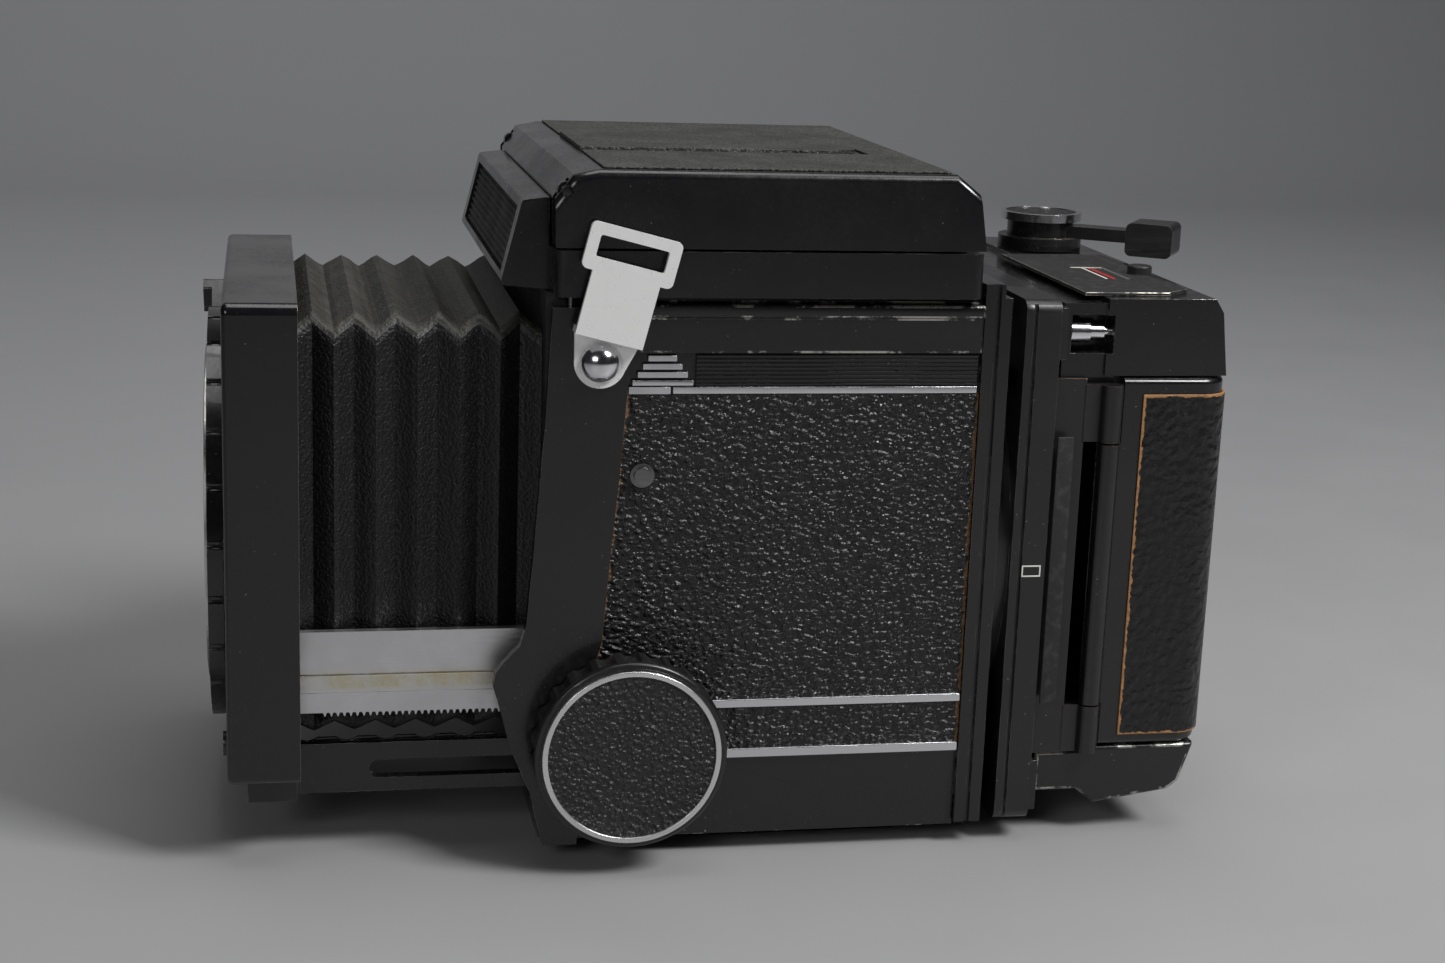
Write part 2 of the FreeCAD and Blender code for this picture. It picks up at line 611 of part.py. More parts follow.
def back_cover():
    z0, z1 = COVER_Z
    hx, hy = HINGE_XY
    shell = rounded(box(-47.5, 47.5, 76.2, 99.0, z0, z1), 6, lambda e: along(2)(e) and e.BoundBox.YMin > 98)
    shell = rounded(shell, 1.2, lambda e: e.BoundBox.YMin > 98.9)
    shell = shell.cut(box(-45.2, 45.2, 76, 96.8, z0 - 1, z1 + 1))
    knuckle = cyl_z(29.1, 84.1, hx, hy, 2.3).fuse(box(45.6, hx - 0.1, hy + 1.2, 77, 29.1, 84.1))
    return shell.fuse(knuckle).removeSplitter()


def cover_leather():
    sheet = rounded(box(-47.9, 47.9, 80.2, 99.7, 21.8, 94.2), 6.4,
                    lambda e: along(2)(e) and e.BoundBox.YMin > 99)
    core = rounded(box(-47.5, 47.5, 70, 99.0, 0, 120), 6, lambda e: along(2)(e) and e.BoundBox.YMin > 98)
    return sheet.cut(core)


def pressure_plate():
    return box(-37, 37, 68.6, 70.1, 25.2, 91.8)


def spool(x, y):
    body = cyl_z(25.6, 91.4, x, y, 6)
    for z0 in (25.6, 90.2):
        body = body.fuse(cyl_z(z0, z0 + 1.2, x, y, SPOOL_R))
    body = body.cut(cyl_z(20, 30, x, y, 2.6)).cut(cyl_z(87, 95, x, y, 2.6))
    return body.removeSplitter()


def wind_parts():
    x, y = WIND_XY
    stack = cyl_z(113.7, 116.5, x, y, 9.5).fuse(cyl_z(116.5, 120.2, x, y, 7.5))
    stack = stack.fuse(cyl_z(92.0, 114, x, y, 2.5))
    arm = box(0, 30, -3, 3, 116.5, 119.3)
    thumb = box(21, 31.5, -5.0, 5.0, 113.9, 121.4)
    thumb = rounded(thumb, 1.4, along(1))
    arm = fuse([arm, thumb])
    arm.rotate(V(0, 0, 0), V(0, 0, 1), 57)
    arm.translate(V(x, y, 0))
    rim = cyl_z(120.2, 122, x, y, 9.2).cut(cyl_z(121.4, 123, x, y, 8.0))
    inlay = cyl_z(121.4, 121.8, x, y, 8.0)
    return {"wind_lever": fuse([stack, arm]), "wind_rim": rim, "wind_inlay": inlay}


def counter_plate():
    plate = prism_z([(-12, 68), (43, 68), (43, 86), (38.5, 91.5), (-12, 91.5)], 113.4, 114.2)
    plate = plate.cut(box(8, 25, 77, 84, 113.9, 115))
    plate = plate.cut(cyl_z(110, 120, WIND_XY[0], WIND_XY[1], 10.5))
    return plate.cut(cyl_z(110, 120, 16.7, 89.4, 2.9))


def release_button():
    return rounded(cyl_z(111, 116, 16.7, 89.4, 2.6), 0.5, lambda e: e.BoundBox.ZMin > 115.9)


# ---- assembly ----
def build():
    nodes = {"base_casting": base_casting()}
    nodes.update(tripod())
    nodes.update(pair("side_panel", side_panel()))
    pivot = cyl_x(-54.3, -PANEL_OUT, *LEVER_YZ, 3.0)
    nodes["side_panel_right"] = nodes["side_panel_right"].fuse(pivot)
    nodes["front_arms"] = both(front_arm())
    nodes["side_leathers"] = side_leathers()
    nodes["chrome_trims"] = both(chrome_trim())
    nodes["ribbed_strips"] = both(ribbed_strip())
    nodes["top_deck"] = top_deck()
    nodes["focusing_screen"] = focusing_screen()
    nodes["front_frame"] = front_frame()
    nodes["mirror_box"] = mirror_box()
    nodes.update(nameplate_parts())
    nodes["rear_frame"] = rear_frame()
    nodes["finder_base"] = finder_base()
    nodes["strap_studs"] = strap_studs()
    nodes["side_pin"] = side_pin()
    cut_screws(nodes)
    nodes["standard_shell"] = standard_shell()
    nodes["throat_ring"] = throat_ring()
    nodes["lock_ring"] = lock_ring()
    nodes["focus_rails"] = both(rail())
    nodes["focus_racks"] = both(rack())
    nodes["lower_bars"] = both(lower_bar())
    nodes["bellows"] = bellows()
    nodes.update(focus_parts())
    nodes["lid_shell"] = lid_shell()
    nodes["lid_cover"] = lid_cover()
    nodes.update(pair("flap", side_flap()))
    nodes["flap_rear"] = rear_flap()
    nodes.update(magnifier())
    nodes.update(mirror_parts())
    nodes["shutter_button"] = shutter_button()
    nodes["cocking_lever"] = cocking_lever()
    nodes.update(pair("strap_lug", strap_lug()))
    nodes["adapter_frame"] = adapter_frame()
    nodes["holder_frame"] = holder_frame()
    nodes.update(holder_caps())
    nodes["back_cover"] = back_cover()
    nodes["cover_leather"] = cover_leather()
    nodes["pressure_plate"] = pressure_plate()
    nodes["take_up_spool"] = spool(*WIND_XY)
    nodes.update(wind_parts())
    nodes["counter_plate"] = counter_plate()
    nodes["release_button"] = release_button()
    return nodes


def main():
    os.makedirs("parts", exist_ok=True)
    nodes = build()
    for name, shape in nodes.items():
        shape.exportStep("parts/" + name + ".step")
    print(len(nodes), "nodes")


main()
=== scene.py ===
"""Looks of the bellows reflex camera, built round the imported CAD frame. Metres."""
import json
import math
import bpy
from mathutils import Matrix, Vector


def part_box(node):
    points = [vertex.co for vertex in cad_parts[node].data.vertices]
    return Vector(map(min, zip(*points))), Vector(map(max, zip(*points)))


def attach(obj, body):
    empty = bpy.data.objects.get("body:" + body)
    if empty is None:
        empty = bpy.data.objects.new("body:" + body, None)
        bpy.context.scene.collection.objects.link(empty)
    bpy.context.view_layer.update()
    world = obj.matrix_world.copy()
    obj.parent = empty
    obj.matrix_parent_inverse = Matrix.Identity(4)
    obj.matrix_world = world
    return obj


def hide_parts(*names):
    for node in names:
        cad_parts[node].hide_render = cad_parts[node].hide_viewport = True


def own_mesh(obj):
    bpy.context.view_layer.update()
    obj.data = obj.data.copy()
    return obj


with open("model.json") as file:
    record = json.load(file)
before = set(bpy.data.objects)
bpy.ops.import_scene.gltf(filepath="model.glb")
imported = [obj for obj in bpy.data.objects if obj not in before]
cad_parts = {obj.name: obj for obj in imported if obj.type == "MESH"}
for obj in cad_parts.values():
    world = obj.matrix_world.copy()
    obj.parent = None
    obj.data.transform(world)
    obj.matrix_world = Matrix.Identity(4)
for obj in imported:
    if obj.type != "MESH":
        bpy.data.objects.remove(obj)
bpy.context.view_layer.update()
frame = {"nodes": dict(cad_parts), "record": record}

MM = 0.001
NODES = frame["nodes"]
SLOT_OF = {s["node"]: s["material_slot"] for s in frame["record"]["subparts"]}

# ---- places taken from the frame ----
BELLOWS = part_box("bellows")
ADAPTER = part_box("adapter_frame")
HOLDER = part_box("holder_frame")
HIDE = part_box("cover_leather")
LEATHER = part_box("side_leathers")
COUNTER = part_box("counter_plate")


# ---- node helpers ----
class Shader:
    """A Principled material with short calls for the nodes that feed it."""

    def __init__(self, name, color, rough, metal=0.0, coat=0.0, spec=0.5):
        self.mat = bpy.data.materials.new(name)
        self.mat.use_nodes = True
        self.tree = self.mat.node_tree
        self.out = self.tree.nodes["Principled BSDF"]
        self.set("Base Color", (*color, 1.0))
        self.set("Roughness", rough)
        self.set("Metallic", metal)
        self.set("Coat Weight", coat)
        self.set("Specular IOR Level", spec)
        self.coords = self.add("ShaderNodeTexCoord").outputs["Object"]

    def add(self, kind, **props):
        node = self.tree.nodes.new(kind)
        for key, value in props.items():
            setattr(node, key, value)
        return node

    def link(self, a, b):
        self.tree.links.new(a, b)

    def set(self, socket, value):
        target = self.out.inputs[socket]
        if hasattr(value, "is_output"):
            self.link(value, target)
        else:
            target.default_value = value

    def feed(self, node, values):
        for index, value in values.items():
            if hasattr(value, "is_output"):
                self.link(value, node.inputs[index])
            else:
                node.inputs[index].default_value = value
        return node

    def math(self, op, a, b=0.0, c=0.0, clamp=False):
        node = self.add("ShaderNodeMath", operation=op, use_clamp=clamp)
        return self.feed(node, {0: a, 1: b, 2: c}).outputs[0]

    def scaled(self, factor):
        node = self.add("ShaderNodeVectorMath", operation="MULTIPLY")
        return self.feed(node, {0: self.coords, 1: factor}).outputs[0]

    def noise(self, scale, detail=3.0, rough=0.55, vector=None):
        node = self.add("ShaderNodeTexNoise")
        values = {"Vector": vector or self.coords, "Scale": scale, "Detail": detail, "Roughness": rough}
        return self.feed(node, values).outputs["Fac"]

    def voronoi(self, scale, feature="F1", vector=None, random=1.0):
        node = self.add("ShaderNodeTexVoronoi", feature=feature)
        values = {"Vector": vector or self.coords, "Scale": scale, "Randomness": random}
        return self.feed(node, values).outputs["Distance"]

    def warped(self, scale, amount):
        node = self.add("ShaderNodeTexNoise")
        self.feed(node, {"Vector": self.coords, "Scale": scale, "Detail": 2.0})
        shift = self.add("ShaderNodeVectorMath", operation="SUBTRACT")
        self.feed(shift, {0: node.outputs["Color"], 1: (0.5, 0.5, 0.5)})
        mix = self.add("ShaderNodeVectorMath", operation="MULTIPLY_ADD")
        self.feed(mix, {0: shift.outputs[0], 1: (amount,) * 3, 2: self.coords})
        return mix.outputs[0]

    def ramp(self, value, low, high, to_low=0.0, to_high=1.0):
        node = self.add("ShaderNodeMapRange", clamp=True)
        return self.feed(node, {0: value, 1: low, 2: high, 3: to_low, 4: to_high}).outputs[0]

    def mix(self, factor, a, b):
        node = self.add("ShaderNodeMix", data_type="RGBA")
        a = a if hasattr(a, "is_output") else (*a, 1.0)
        b = b if hasattr(b, "is_output") else (*b, 1.0)
        return self.feed(node, {0: factor, 6: a, 7: b}).outputs[2]

    def bump(self, height, distance, strength=1.0):
        node = self.add("ShaderNodeBump")
        self.feed(node, {"Height": height, "Distance": distance, "Strength": strength})
        self.set("Normal", node.outputs[0])

    def axis(self, index):
        node = self.add("ShaderNodeSeparateXYZ")
        return self.feed(node, {0: self.coords}).outputs[index]

    def plane(self, normal, offset):
        """Signed distance to a plane, in metres."""
        node = self.add("ShaderNodeVectorMath", operation="DOT_PRODUCT")
        dot = self.feed(node, {0: self.coords, 1: normal}).outputs["Value"]
        return self.math("SUBTRACT", dot, offset)

    def facing_up(self):
        node = self.add("ShaderNodeSeparateXYZ")
        geo = self.add("ShaderNodeNewGeometry")
        return self.feed(node, {0: geo.outputs["Normal"]}).outputs[2]


# ---- materials ----
def enamel(name="black_enamel", rough=0.2, wear=0.75, color=(0.006, 0.006, 0.007)):
    """Stove enamel, smeared and dusty in places, with small bare specks."""
    s = Shader(name, color, rough, coat=0.25, spec=0.55)
    smear = s.noise(38, 5, 0.6)
    fine = s.noise(900, 3)
    s.set("Roughness", s.math("ADD", s.ramp(smear, 0.35, 0.7, rough - 0.05, rough + 0.16),
                              s.ramp(fine, 0.3, 0.7, -0.03, 0.05)))
    specks = s.ramp(s.noise(1500, 2), 0.72, 0.77, 0.0, wear)
    mask = s.math("MULTIPLY", specks, s.ramp(s.noise(60, 2), 0.45, 0.65))
    grit = s.ramp(s.noise(700, 5, 0.7), 0.45, 0.75, 0, 0.08)
    dust = s.math("MULTIPLY", s.ramp(s.facing_up(), 0.6, 1.0), grit)
    base = s.mix(dust, color, (0.32, 0.31, 0.27))
    s.set("Base Color", s.mix(mask, base, (0.42, 0.4, 0.36)))
    s.set("Metallic", s.math("MULTIPLY", mask, 0.85))
    s.bump(s.noise(650, 4), 0.00002, 0.35)
    return s.mat


def worn_edge(name, bare, low, high, paint=(0.006, 0.006, 0.007)):
    """The rounded-over edge strip: paint broken through to bare metal in runs."""
    s = Shader(name, paint, 0.3, coat=0.1)
    runs = s.noise(90, 6, 0.72)
    mask = s.ramp(runs, low, high)
    tint = s.mix(s.noise(400, 3), bare, tuple(c * 0.55 for c in bare))
    s.set("Base Color", s.mix(mask, paint, tint))
    s.set("Metallic", s.math("MULTIPLY", mask, 0.9))
    s.set("Roughness", s.ramp(s.noise(700, 4), 0.3, 0.7, 0.24, 0.45))
    return s.mat


def matt_black():
    s = Shader("matt_black", (0.018, 0.018, 0.018), 0.6)
    s.set("Roughness", s.ramp(s.noise(120, 4), 0.3, 0.7, 0.5, 0.72))
    patches = s.ramp(s.noise(500, 4), 0.5, 0.75)
    s.set("Base Color", s.mix(patches, (0.016, 0.016, 0.017), (0.045, 0.044, 0.042)))
    s.bump(s.noise(2200, 2), 0.00003, 0.5)
    return s.mat


def grain(s, scale, depth, stretch=(1, 1, 1)):
    """Coarse wrinkled grain: rounded islands of uneven size with narrow valleys."""
    warped = s.warped(scale * 0.55, 0.9 / scale)
    vec = s.add("ShaderNodeVectorMath", operation="MULTIPLY")
    moved = s.feed(vec, {0: warped, 1: stretch}).outputs[0]
    cells = s.voronoi(scale, "SMOOTH_F1", moved)
    small = s.voronoi(scale * 2.3, "F1", moved)
    hills = s.math("SUBTRACT", 1.0, s.ramp(cells, 0.1, 0.62))
    height = s.math("ADD", hills, s.math("MULTIPLY", s.math("SUBTRACT", 1.0, small), 0.3))
    s.bump(height, depth, 1.0)
    return hills


def edge_stain(s, planes, width):
    """Raw brown edge where the covering has shrunk or rubbed away."""
    near = None
    for normal, offset in planes:
        away = s.math("ABSOLUTE", s.plane(normal, offset))
        near = away if near is None else s.math("MINIMUM", near, away)
    ragged = s.math("ADD", near, s.ramp(s.noise(420, 4, 0.7), 0.3, 0.7, -width * 0.7, width * 0.9))
    return s.ramp(ragged, width * 0.8, width * 1.15, 1.0, 0.0)


def leatherette():
    s = Shader("leatherette", (0.014, 0.014, 0.015), 0.42, spec=0.5)
    hills = grain(s, 1150, 0.0005, (1, 0.7, 1))
    rub = s.math("MULTIPLY", hills, s.ramp(s.noise(70, 4), 0.4, 0.7, 0.0, 0.35))
    base = s.mix(rub, (0.006, 0.006, 0.0065), (0.03, 0.03, 0.031))
    y_front, y_rear = LEATHER[0].y, LEATHER[1].y
    z_top = LEATHER[1].z
    lean = Vector((0, 1, -(5.2 / 62.3))).normalized()
    foot = Vector((0, y_front + 5.2 * MM, z_top))
    stain = edge_stain(s, [((0, 1, 0), y_rear), (tuple(lean), lean.dot(foot))], 0.0006)
    s.set("Base Color", s.mix(stain, base, (0.17, 0.085, 0.035)))
    s.set("Roughness", s.math("ADD", s.ramp(s.noise(300, 4), 0.3, 0.7, 0.22, 0.4),
                              s.math("MULTIPLY", stain, 0.3)))
    return s.mat


def round_leatherette():
    s = Shader("round_leatherette", (0.014, 0.014, 0.015), 0.42)
    hills = grain(s, 1150, 0.0005)
    s.set("Base Color", s.mix(s.math("MULTIPLY", hills, 0.3), (0.012, 0.012, 0.013), (0.04, 0.04, 0.04)))
    s.set("Roughness", s.ramp(s.noise(300, 4), 0.3, 0.7, 0.3, 0.5))
    return s.mat


def lid_leatherette():
    """Same covering on the hood, fine grained and grey with dust."""
    s = Shader("lid_leatherette", (0.03, 0.03, 0.028), 0.6)
    hills = grain(s, 1500, 0.00022)
    dust = s.ramp(s.noise(90, 6, 0.65), 0.35, 0.7, 0.15, 0.55)
    lift = s.math("MULTIPLY", dust, s.ramp(hills, 0.0, 0.8, 0.25, 1.0))
    s.set("Base Color", s.mix(lift, (0.02, 0.02, 0.019), (0.17, 0.165, 0.145)))
    s.set("Roughness", s.ramp(s.noise(400, 4), 0.3, 0.7, 0.45, 0.68))
    return s.mat


def hide():
    """Smooth fine-creased leather with rubbed orange-brown edges."""
    s = Shader("cover_hide", (0.016, 0.015, 0.015), 0.36)
    hills = grain(s, 620, 0.00022)
    low, high = HIDE
    planes = [((0, 1, 0), low.y), ((0, 0, 1), low.z), ((0, 0, 1), high.z)]
    stain = edge_stain(s, planes, 0.0005)
    base = s.mix(s.math("MULTIPLY", hills, 0.2), (0.005, 0.005, 0.005), (0.02, 0.019, 0.018))
    s.set("Base Color", s.mix(stain, base, (0.36, 0.18, 0.07)))
    s.set("Roughness", s.math("ADD", s.ramp(s.noise(130, 5), 0.3, 0.7, 0.27, 0.45),
                              s.math("MULTIPLY", stain, 0.3)))
    return s.mat


def bellows_cloth():
    s = Shader("bellows_cloth", (0.016, 0.016, 0.017), 0.55)
    hills = grain(s, 1700, 0.0001)
    up = s.ramp(s.facing_up(), 0.25, 0.95)
    dust = s.math("MULTIPLY", up, s.ramp(s.noise(260, 6, 0.7), 0.35, 0.7, 0.2, 0.75))
    rub = s.ramp(s.noise(300, 4), 0.55, 0.8, 0.0, 0.5)
    base = s.mix(rub, (0.004, 0.004, 0.0045), (0.014, 0.014, 0.0145))
    s.set("Base Color", s.mix(dust, base, (0.105, 0.1, 0.08)))
    s.set("Roughness", s.math("ADD", s.ramp(hills, 0, 1, 0.42, 0.55), s.math("MULTIPLY", dust, 0.25)))
    return s.mat


def brushed(name, color, rough, stretch, wear=0.0, grease=None):
    """Satin metal with fine lines along one axis."""
    s = Shader(name, color, rough, metal=1.0)
    lines = s.noise(900, 4, 0.6, s.scaled(stretch))
    blotch = s.noise(70, 4)
    s.set("Roughness", s.math("ADD", s.ramp(lines, 0.3, 0.7, rough - 0.08, rough + 0.1),
                              s.ramp(blotch, 0.35, 0.7, -0.04, 0.12)))
    dark = tuple(c * 0.72 for c in color)
    base = s.mix(s.ramp(blotch, 0.4, 0.75, 0, 0.6), color, dark)
    if wear:
        scratch = s.ramp(s.noise(1300, 3, 0.6, s.scaled((0.2, 1, 1))), 0.62, 0.68, 0, wear)
        base = s.mix(scratch, base, tuple(c * 0.45 for c in color))
    if grease:
        z0, z1 = grease
        z = s.axis(2)
        band = s.math("MULTIPLY", s.ramp(z, z0, z0 + 0.001), s.ramp(z, z1, z1 + 0.0016, 1, 0))
        patch = s.math("MULTIPLY", band, s.ramp(s.noise(150, 5, 0.7), 0.38, 0.6, 0.15, 0.8))
        base = s.mix(patch, base, (0.42, 0.36, 0.18))
        s.set("Metallic", s.math("SUBTRACT", 1.0, s.math("MULTIPLY", patch, 0.6)))
    s.set("Base Color", base)
    s.bump(lines, 0.00001, 0.5)
    return s.mat


def chrome(name="bright_chrome", color=(0.78, 0.78, 0.8), rough=0.12):
    s = Shader(name, color, rough, metal=1.0)
    s.set("Roughness", s.ramp(s.noise(120, 5, 0.65), 0.3, 0.75, rough - 0.04, rough + 0.2))
    spots = s.ramp(s.noise(1400, 3), 0.7, 0.75, 0, 0.7)
    s.set("Base Color", s.mix(spots, color, (0.25, 0.22, 0.19)))
    return s.mat


def rubbed_paint(name, color=(0.007, 0.007, 0.008)):
    return enamel(name, 0.32, 1.0, color)


def glass(name, color, rough, alpha):
    s = Shader(name, color, rough, spec=0.6)
    s.set("Transmission Weight", 0.9)
    s.set("Roughness", s.ramp(s.noise(400, 3), 0.3, 0.7, rough, rough + 0.05))
    s.set("Alpha", alpha)
    return s.mat


def plain(name, color, rough, metal=0.0):
    s = Shader(name, color, rough, metal)
    s.set("Roughness", s.ramp(s.noise(500, 4), 0.3, 0.7, rough - 0.06, rough + 0.1))
    s.bump(s.noise(1500, 2), 0.00002, 0.4)
    return s.mat


MATS = {
    "black_enamel": enamel(),
    "matt_black": matt_black(),
    "leatherette": leatherette(),
    "cover_hide": hide(),
    "rail_metal": brushed("rail_metal", (0.74, 0.74, 0.75), 0.34, (4, 0.08, 4), grease=(0.0352, 0.0384)),
    "bright_chrome": chrome(),
    "satin_steel": brushed("satin_steel", (0.66, 0.65, 0.62), 0.32, (1, 1, 1), wear=0.5),
    "bellows_cloth": bellows_cloth(),
    "knob_black": enamel("knob_black", 0.34, 0.4),
    "ground_glass": glass("ground_glass", (0.8, 0.82, 0.8), 0.5, 0.9),
    "lens_glass": glass("lens_glass", (0.95, 0.97, 0.97), 0.02, 0.35),
    "silvered": chrome("silvered", (0.9, 0.9, 0.92), 0.05),
    "black_plastic": plain("black_plastic", (0.02, 0.02, 0.02), 0.4),
}
ROUND_LEATHER = round_leatherette()
LID_LEATHER = lid_leatherette()
# Painted highlight: the strap lug gets a near-white, mostly non-metallic colour so it reads blown-out
# bright, standing in for the specular highlight on the plated metal.
LUG_PAINTED_HIGHLIGHT = plain("lug_metal_painted_highlight", (0.93, 0.93, 0.92), 0.3, 0.25)
PIN = plain("pin_steel", (0.2, 0.2, 0.2), 0.3, 0.9)
KNOB_RING = brushed("knob_ring_metal", (0.85, 0.85, 0.84), 0.3, (1, 1, 1))
WORN = rubbed_paint("worn_enamel")
WHITE = plain("white_fill", (0.75, 0.74, 0.68), 0.5)
RED = plain("red_fill", (0.5, 0.02, 0.02), 0.4)
EDGE = worn_edge("worn_edge", (0.62, 0.6, 0.56), 0.5, 0.56)
EDGE_HEAVY = worn_edge("heavy_worn_edge", (0.7, 0.66, 0.58), 0.42, 0.5)
EDGE_BROWN = worn_edge("brown_worn_edge", (0.33, 0.2, 0.12), 0.36, 0.5)
EDGES = {"standard_shell": EDGE_HEAVY, "lid_shell": EDGE_HEAVY, "wind_lever": EDGE_HEAVY,
         "adapter_frame": EDGE, "holder_frame": EDGE_BROWN, "back_cover": EDGE_BROWN,
         "holder_cap_top": EDGE, "holder_cap_bottom": EDGE, "counter_plate": EDGE_HEAVY,
         "finder_base": EDGE, "rear_frame": EDGE, "top_deck": EDGE, "nameplate_housing": EDGE_HEAVY,
         "front_arms": EDGE, "side_panel_left": EDGE, "side_panel_right": EDGE,
         "lower_bars": EDGE_HEAVY, "focus_knobs": EDGE, "base_casting": EDGE, "lock_ring": EDGE}
OVERRIDES = {"knob_inlays": ROUND_LEATHER, "wind_inlay": ROUND_LEATHER, "lid_cover": LID_LEATHER,
             "knob_rings": KNOB_RING, "strap_lug_left": LUG_PAINTED_HIGHLIGHT, "strap_lug_right": LUG_PAINTED_HIGHLIGHT,
             "side_pin": PIN, "wind_lever": WORN, "holder_frame": WORN,
             "adapter_frame": WORN}


# ---- CAD nodes that stay: weld, soften the edges, shade ----
ROUND_OVER = {"standard_shell": 0.35, "lid_shell": 0.5, "finder_base": 0.5, "nameplate_housing": 0.4,
              "holder_cap_top": 1.4, "holder_cap_bottom": 1.4, "back_cover": 0.5, "rear_frame": 0.5,
              "adapter_frame": 0.4, "front_arms": 0.8, "top_deck": 0.5, "wind_lever": 0.5,
              "cover_leather": 0.25, "knob_rings": 0.2, "focus_knobs": 0.3, "counter_plate": 0.3,
              "focus_racks": 0.06, "strap_lug_left": 0.25, "strap_lug_right": 0.25, "cocking_lever": 0.4,
              "side_leathers": 0.0, "base_casting": 0.5, "tripod_plate": 0.6, "chrome_trims": 0.2,
              "ribbed_strips": 0.1, "lower_bars": 0.2}


def soften(node, obj):
    weld = obj.modifiers.new("weld", "WELD")
    weld.merge_threshold = 0.000002
    width = ROUND_OVER.get(node, 0.15) * MM
    if width:
        bevel = obj.modifiers.new("bevel", "BEVEL")
        bevel.width = width
        bevel.segments = 3
        bevel.limit_method = "ANGLE"
        bevel.angle_limit = math.radians(35)
        bevel.use_clamp_overlap = True
        if node in EDGES:
            obj.data.materials.append(EDGES[node])
            bevel.material = 1
        obj.modifiers.new("normals", "WEIGHTED_NORMAL")
    for poly in obj.data.polygons:
        poly.use_smooth = width > 0


def shade_nodes():
    for node, obj in NODES.items():
        mat = OVERRIDES.get(node, MATS[SLOT_OF[node]])
        obj.data.materials.clear()
        obj.data.materials.append(mat)
        if node != "bellows":
            soften(node, obj)


# ---- new pieces ----
def mesh_object(name, verts, faces, mat, smooth=True):
    mesh = bpy.data.meshes.new(name)
    mesh.from_pydata([tuple(v) for v in verts], [], faces)
    mesh.validate()
    obj = bpy.data.objects.new(name, mesh)
    bpy.context.scene.collection.objects.link(obj)
    mesh.materials.append(mat)
    for poly in mesh.polygons:
        poly.use_smooth = smooth
    return obj


def slab(name, low, high, mat, bevel=0.2):
    """A small box with rounded edges."""
    (x0, y0, z0), (x1, y1, z1) = low, high
    verts = [(x, y, z) for x in (x0, x1) for y in (y0, y1) for z in (z0, z1)]
    faces = [(0, 1, 3, 2), (4, 6, 7, 5), (0, 4, 5, 1), (2, 3, 7, 6), (0, 2, 6, 4), (1, 5, 7, 3)]
    obj = mesh_object(name, [(v[0] * MM, v[1] * MM, v[2] * MM) for v in verts], faces, mat)
    mod = obj.modifiers.new("bevel", "BEVEL")
    mod.width = bevel * MM
    mod.segments = 3
    return obj


def rounded_loop(half_w, low, top, corner, steps):
    """Points round a rectangle with rounded corners, in X and Z."""
    pts = []
    centres = [(half_w - corner, top - corner, 0), (-half_w + corner, top - corner, 90),
               (-half_w + corner, low + corner, 180), (half_w - corner, low + corner, 270)]
    for cx, cz, start in centres:
        for i in range(steps + 1):
            a = math.radians(start + 90 * i / steps)
            pts.append((cx + corner * math.cos(a), cz + corner * math.sin(a)))
    return pts


def bellows():
    """Pleated sleeve: top and bottom folds stand out where the side folds go in."""
    low, high = BELLOWS
    pitch, first = 7.9 * MM, low.y + 11.4 * MM
    valley_w, ridge_w = high.x - 2.6 * MM, high.x
    valley_t, ridge_t = high.z - 2.8 * MM, high.z
    valley_b, ridge_b = low.z + 2.7 * MM, low.z
    ys = [low.y + 0.2 * MM, first - pitch * 0.5]
    steps = 8
    folds = 6
    for i in range(folds * steps + 1):
        y = first - pitch * 0.5 + pitch * i / steps
        if y < high.y - 0.3 * MM:
            ys.append(y)
    ys.append(high.y - 0.1 * MM)
    rings = []
    for y in ys:
        phase = (y - first) / pitch
        t = abs(((phase + 0.5) % 1.0) - 0.5) * 2
        t = min(max((t - 0.5) * 1.08 + 0.5, 0.0), 1.0)
        if y <= first - pitch * 0.5:
            t = 1.0
        out_top = 1.0 - t
        sag = 0.25 * MM * math.sin(phase * 5.1)
        half = valley_w + (ridge_w - valley_w) * t
        top = valley_t + (ridge_t - valley_t) * out_top
        bottom = valley_b + (ridge_b - valley_b) * out_top
        rings.append((y, half - abs(sag) * 0.4, bottom, top - abs(sag)))
    verts, faces = [], []
    for inset in (0.0, 0.5 * MM):
        for y, half, bottom, top in rings:
            for x, z in rounded_loop(half - inset, bottom + inset, top - inset, 3.2 * MM, 4):
                verts.append((x, y, z))
    n = len(rounded_loop(1, 0, 2, 0.1, 4))
    count = len(rings)
    for skin in (0, 1):
        base = skin * count * n
        for r in range(count - 1):
            for k in range(n):
                a, b = base + r * n + k, base + r * n + (k + 1) % n
                quad = (a, a + n, b + n, b)
                faces.append(quad if skin == 0 else quad[::-1])
    for r in (0, count - 1):
        for k in range(n):
            a, b = r * n + k, r * n + (k + 1) % n
            c, d = count * n + b, count * n + a
            faces.append((a, b, c, d) if r == 0 else (d, c, b, a))
    obj = mesh_object("bellows_skin", verts, faces, MATS["bellows_cloth"], smooth=False)
    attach(obj, "body")
    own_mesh(obj)
    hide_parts("bellows")
    return obj


def frame_mark():
    """White outlined rectangle on the adapter's side."""
    x = ADAPTER[1].x / MM
    y0, z0 = ADAPTER[0].y / MM + 5.2, 57.2
    w, h, t = 4.0, 2.4, 0.3
    bars = [((y0, z0), (y0 + w, z0 + t)), ((y0, z0 + h - t), (y0 + w, z0 + h)),
            ((y0, z0 + t), (y0 + t, z0 + h - t)), ((y0 + w - t, z0 + t), (y0 + w, z0 + h - t))]
    for i, (a, b) in enumerate(bars):
        piece = slab(f"frame_mark_{i}", (x - 0.05, *a), (x + 0.06, *b), WHITE, 0.04)
        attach(piece, "film_holder")


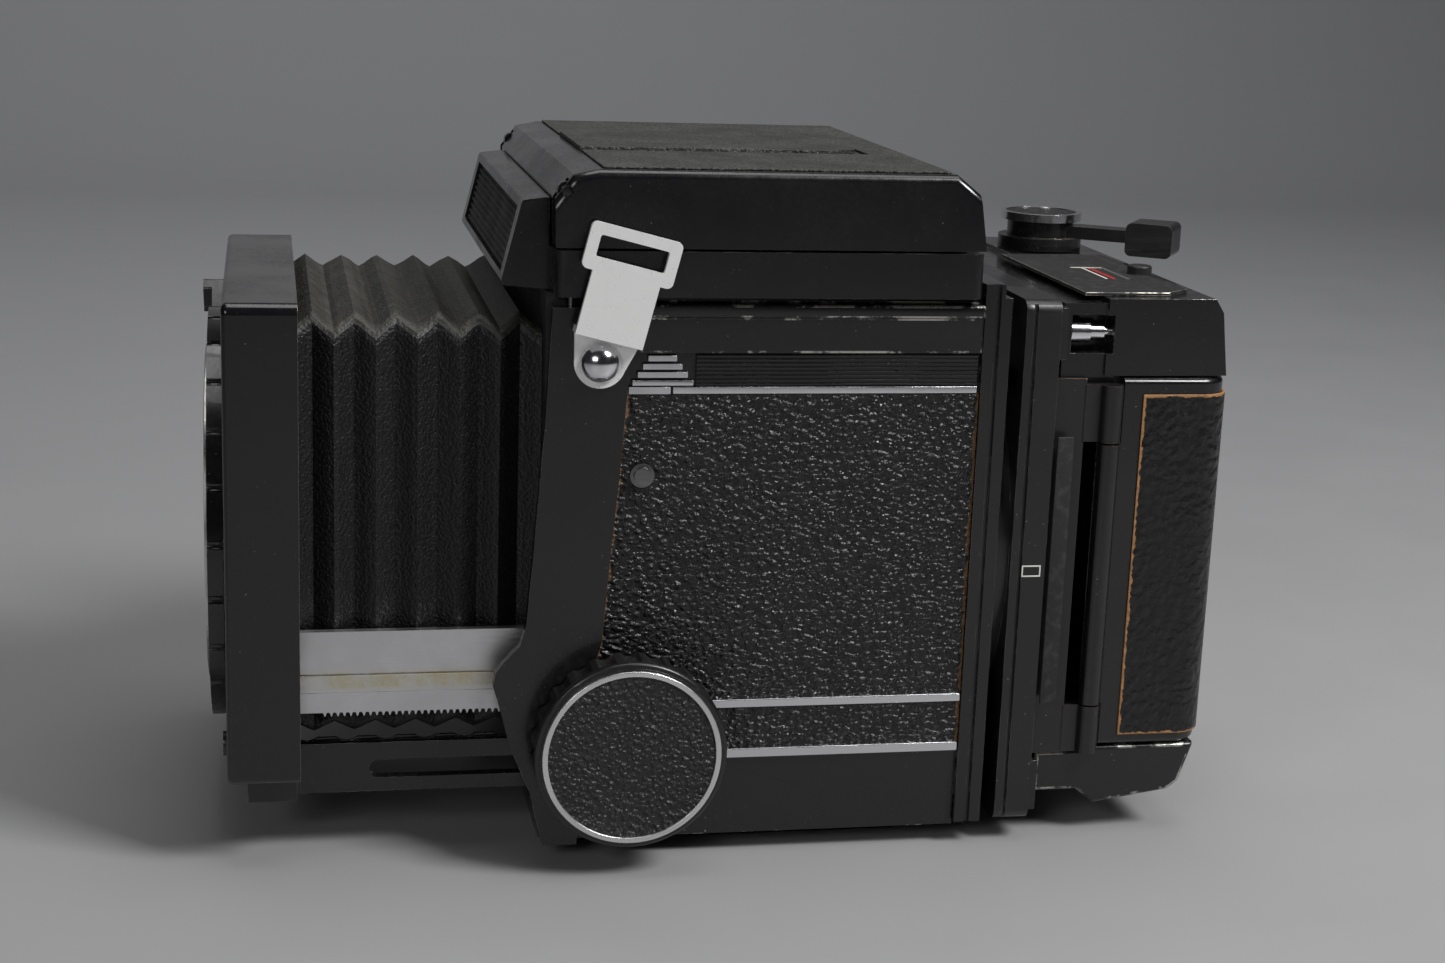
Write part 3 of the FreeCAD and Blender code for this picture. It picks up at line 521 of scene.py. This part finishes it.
def holder_plate():
    """Plain raised strip on the holder's hinge side."""
    x = HOLDER[1].x / MM
    y = HOLDER[0].y / MM
    low, high = (x - 0.2, y + 1.0, 30), (x - 0.2 + 0.5, y + 4.4, 86)
    plate = slab("holder_side_strip", low, high, MATS["matt_black"], 0.15)
    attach(plate, "film_holder")


def counter_marks():
    low, high = COUNTER
    z = low.z / MM + 0.5
    window = slab("counter_window", (8.2, 77.2, z), (24.8, 83.8, z + 0.15), MATS["black_plastic"], 0.03)
    white = slab("counter_white_line", (9, 79.2, z + 0.15), (24, 79.7, z + 0.22), WHITE, 0.02)
    red = slab("counter_red_line", (9, 80.6, z + 0.15), (24, 81.5, z + 0.22), RED, 0.02)
    for piece, slot in ((window, "black_plastic"), (white, "black_plastic"), (red, "black_plastic")):
        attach(piece, "film_holder")


# ---- camera, light, surroundings ----
CAMERA_PLACE = (0.47927, -0.09285, 0.18210)
CAMERA_YAW, CAMERA_PITCH, CAMERA_ROLL = -11.42, 13.42, 2.10
CAMERA_LENS = 57.54


def camera():
    yaw, pitch, roll = (math.radians(a) for a in (CAMERA_YAW, CAMERA_PITCH, CAMERA_ROLL))
    forward = Vector((-math.cos(yaw) * math.cos(pitch), -math.sin(yaw) * math.cos(pitch), -math.sin(pitch)))
    right = Vector((-math.sin(yaw), math.cos(yaw), 0))
    up = right.cross(forward)
    r = math.cos(roll) * right + math.sin(roll) * up
    u = -math.sin(roll) * right + math.cos(roll) * up
    data = bpy.data.cameras.new("camera")
    data.lens = CAMERA_LENS
    data.sensor_width = 36
    data.clip_start = 0.01
    cam = bpy.data.objects.new("camera", data)
    bpy.context.scene.collection.objects.link(cam)
    turn = Matrix((r, u, -forward)).transposed().to_4x4()
    cam.matrix_world = Matrix.Translation(Vector(CAMERA_PLACE)) @ turn
    bpy.context.scene.camera = cam


def area_light(name, place, target, size, power, color=(1, 1, 1)):
    data = bpy.data.lights.new(name, "AREA")
    data.shape = "RECTANGLE"
    data.size, data.size_y = size
    data.energy = power
    data.color = color
    lamp = bpy.data.objects.new(name, data)
    bpy.context.scene.collection.objects.link(lamp)
    lamp.location = place
    lamp.rotation_euler = (Vector(target) - Vector(place)).to_track_quat("-Z", "Y").to_euler()


def surroundings():
    mat = Shader("floor_paper", (0.37, 0.38, 0.4), 0.5)
    mat.set("Roughness", mat.ramp(mat.noise(20, 4), 0.3, 0.7, 0.42, 0.58))
    # Painted shade: the paper is coloured darker further back towards the sweep and towards the right,
    # standing in for the light falling off there.
    depth = mat.ramp(mat.axis(0), -0.08, -0.8)
    away = mat.math("MULTIPLY", depth, mat.ramp(mat.axis(1), -0.5, 0.5, 0.75, 1.0))
    mat.set("Base Color", mat.mix(away, (0.38, 0.38, 0.385), (0.36, 0.363, 0.375)))
    verts, faces = [], []
    profile = [(2.4, 0.0), (-1.1, 0.0)]
    for i in range(1, 13):
        a = math.radians(90 * i / 12)
        profile.append((-1.1 - 0.5 * math.sin(a), 0.5 * (1 - math.cos(a))))
    profile.append((-1.6, 2.4))
    for y in (-2.6, 2.8):
        verts += [(x, y, z) for x, z in profile]
    n = len(profile)
    for i in range(n - 1):
        faces.append((i, i + 1, n + i + 1, n + i))
    sweep = mesh_object("floor_sweep", verts, faces, mat.mat)
    world = bpy.data.worlds.new("studio")
    world.use_nodes = True
    world.node_tree.nodes["Background"].inputs[0].default_value = (0.62, 0.64, 0.68, 1)
    world.node_tree.nodes["Background"].inputs[1].default_value = 0.03
    bpy.context.scene.world = world
    bpy.context.scene.view_settings.view_transform = "Standard"
    area_light("key", (0.45, 0.5, 0.75), (-0.1, 0, 0.05), (0.3, 0.3), 7.5)
    area_light("top", (0.0, 0.1, 1.1), (0, 0, 0.1), (0.6, 0.6), 3.0)
    area_light("wall", (-0.5, -0.1, 1.3), (-1.6, -0.1, 0.5), (0.8, 0.5), 5.0)
    area_light("side", (0.85, -0.55, 0.5), (0, -0.02, 0.06), (0.4, 0.3), 1.6)


def build():
    shade_nodes()
    bellows()
    frame_mark()
    holder_plate()
    counter_marks()
    camera()
    surroundings()


build()
